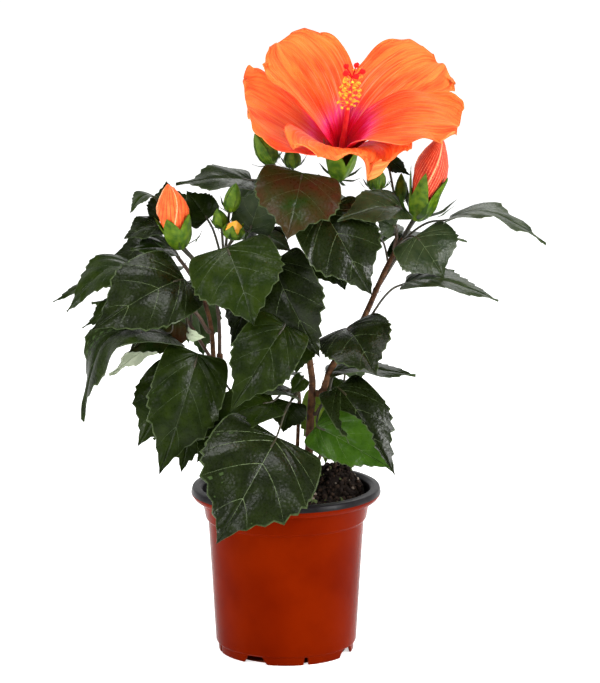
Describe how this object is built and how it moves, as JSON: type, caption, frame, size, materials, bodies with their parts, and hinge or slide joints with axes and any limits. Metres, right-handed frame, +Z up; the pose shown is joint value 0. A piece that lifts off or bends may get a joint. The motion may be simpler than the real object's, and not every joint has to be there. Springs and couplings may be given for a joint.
{
  "type": "potted hibiscus shrub",
  "caption": "Leafy hibiscus shrub in flower, with one wide open bloom, coloured buds and toothed leaves, in a tapered nursery pot.",
  "frame": {"origin": "middle of the pot's flat underside", "axes": "+Z up the plant, +Y away from its front, +X to its right seen from the front"},
  "size_m": [0.333, 0.2111, 0.4292],
  "materials": {
    "pot": "smooth, with a soft shine",
    "soil": "loose, crumbly and dark",
    "bark": "thin brown bark",
    "petal": "soft and finely crinkled",
    "bud": "soft rolled petals in a green cup",
    "leaf": "glossy upper side"
  },
  "bodies": {
    "root": {"pot": "pot", "potting_mix": "soil", "stem_main": "bark", "stem_left": "bark", "stem_thin": "bark", "bough_centre": "bark", "bough_right": "bark", "bough_left": "bark", "bloom_shoot": "petal", "bud_shoot_left": "bud", "bud_shoot_right": "bud", "leaves_left_side": "leaf", "leaves_left_top": "leaf", "leaves_left_low": "leaf", "leaves_centre_left": "leaf", "leaves_centre_mid": "leaf", "leaves_centre_top": "leaf", "leaves_centre_low": "leaf", "leaves_right_top": "leaf", "leaves_right_side": "leaf", "leaves_right_low": "leaf", "leaves_back_left": "leaf", "leaves_back_low": "leaf", "leaves_back_mid": "leaf", "leaves_back_right_low": "leaf", "leaves_back_right": "leaf", "leaves_back_top": "leaf"}
  },
  "joints": []
}
